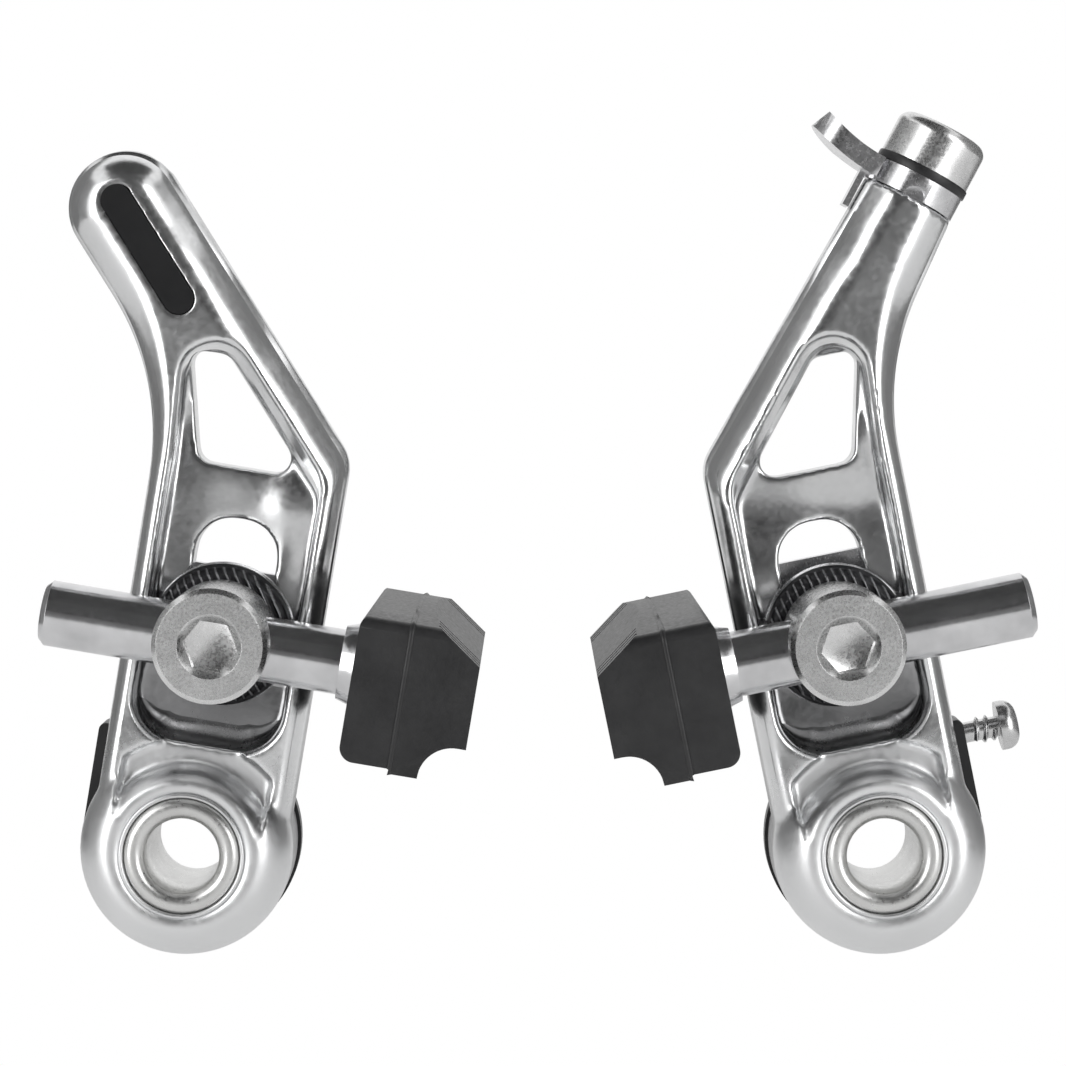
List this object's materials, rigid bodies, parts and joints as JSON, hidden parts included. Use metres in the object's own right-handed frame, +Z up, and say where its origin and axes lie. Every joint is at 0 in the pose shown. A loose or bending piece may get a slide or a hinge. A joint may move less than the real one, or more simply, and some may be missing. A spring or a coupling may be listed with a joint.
{
  "type": "cantilever brake",
  "caption": "Bicycle cantilever rim brake: handed forged arms with windowed webs on pivot bushes, each holding a post-mounted pad in an eye bolt; one tip clamps the cable.",
  "frame": {"origin": "midway between the two boss axes, on the plane where the pivot bushes seat on the frame", "axes": "+X right seen from the front, -Y front, +Z up; the boss axes run along Y"},
  "size_m": [0.1066, 0.0509, 0.0918],
  "materials": {
    "forged_alloy": "polished",
    "bush_steel": "satin",
    "spring_steel": "satin",
    "black_plastic": "matte",
    "inlay_black": "gloss",
    "plated_bolt": "satin plated",
    "plated_sheet": "plated",
    "plated_post": "bright plated",
    "plated_nut": "plated",
    "dark_steel": "black oxide",
    "pad_rubber": "matte"
  },
  "bodies": {
    "frame_mounts": {"left_pivot_bush": "bush_steel", "right_pivot_bush": "bush_steel", "left_return_spring": "spring_steel", "right_return_spring": "spring_steel"},
    "left_arm": {"left_arm": "forged_alloy", "left_tip_inlay": "inlay_black", "left_spring_cup": "black_plastic"},
    "left_clamp": {"left_knurled_washer": "dark_steel", "left_seat_washer": "plated_sheet", "left_rear_plate": "plated_sheet"},
    "left_eye": {"left_eye_bolt": "plated_bolt", "left_pad_nut": "plated_nut"},
    "left_pad": {"left_pad_post": "plated_post", "left_brake_pad": "pad_rubber"},
    "right_arm": {"right_arm": "forged_alloy", "right_anchor_bolt": "plated_bolt", "right_seal_ring": "black_plastic", "right_clamp_plate": "plated_sheet"},
    "right_spring_cup": {"right_spring_cup": "black_plastic"},
    "right_adjuster": {"right_adjuster_screw": "plated_nut"},
    "right_clamp": {"right_knurled_washer": "dark_steel", "right_seat_washer": "plated_sheet", "right_rear_plate": "plated_sheet"},
    "right_eye": {"right_eye_bolt": "plated_bolt", "right_pad_nut": "plated_nut"},
    "right_pad": {"right_pad_post": "plated_post", "right_brake_pad": "pad_rubber"}
  },
  "joints": [
    {"name": "left_arm_swing", "type": "hinge", "parent": "frame_mounts", "child": "left_arm", "pos_m": [-0.03775, -0.0087, 0], "axis": [0, 1, 0], "range_deg": [-25, 4.5], "stiffness_Nm_per_rad": 1.2, "deforming": ["left_return_spring"]},
    {"name": "left_pad_height", "type": "slide", "parent": "left_arm", "child": "left_clamp", "axis": [0.1668, 0, 0.986], "range_m": [-0.0015, 0.004]},
    {"name": "left_pad_swivel", "type": "hinge", "parent": "left_clamp", "child": "left_eye", "pos_m": [-0.0338, -0.0125, 0.02337], "axis": [0, 1, 0], "range_deg": [-7, 7]},
    {"name": "left_pad_reach", "type": "slide", "parent": "left_eye", "child": "left_pad", "axis": [0.986, 0, -0.1668], "range_m": [-0.0029, 0.0009]},
    {"name": "right_arm_swing", "type": "hinge", "parent": "frame_mounts", "child": "right_arm", "pos_m": [0.03775, -0.0087, 0], "axis": [0, -1, 0], "range_deg": [-25, 4.5], "stiffness_Nm_per_rad": 1.2, "deforming": ["right_return_spring"]},
    {"name": "right_pad_height", "type": "slide", "parent": "right_arm", "child": "right_clamp", "axis": [-0.2011, 0, 0.9796], "range_m": [-0.0015, 0.004]},
    {"name": "right_pad_swivel", "type": "hinge", "parent": "right_clamp", "child": "right_eye", "pos_m": [0.03298, -0.0125, 0.02322], "axis": [0, -1, 0], "range_deg": [-7, 7]},
    {"name": "right_pad_reach", "type": "slide", "parent": "right_eye", "child": "right_pad", "axis": [-0.9796, 0, -0.2011], "range_m": [-0.001, 0.0028]},
    {"name": "right_tension_turn", "type": "hinge", "parent": "right_arm", "child": "right_spring_cup", "pos_m": [0.03775, -0.0015, 0], "axis": [0, 1, 0], "range_deg": [-5, 4.5], "deforming": ["right_return_spring"]},
    {"name": "right_adjuster_travel", "type": "slide", "parent": "right_spring_cup", "child": "right_adjuster", "axis": [-0.9796, 0, -0.2011], "range_m": [-0.0009, 0.0008]}
  ],
  "couplings": [
    {"joint": "right_adjuster_travel", "follows": "right_tension_turn", "m_per_rad": 0.0093}
  ]
}
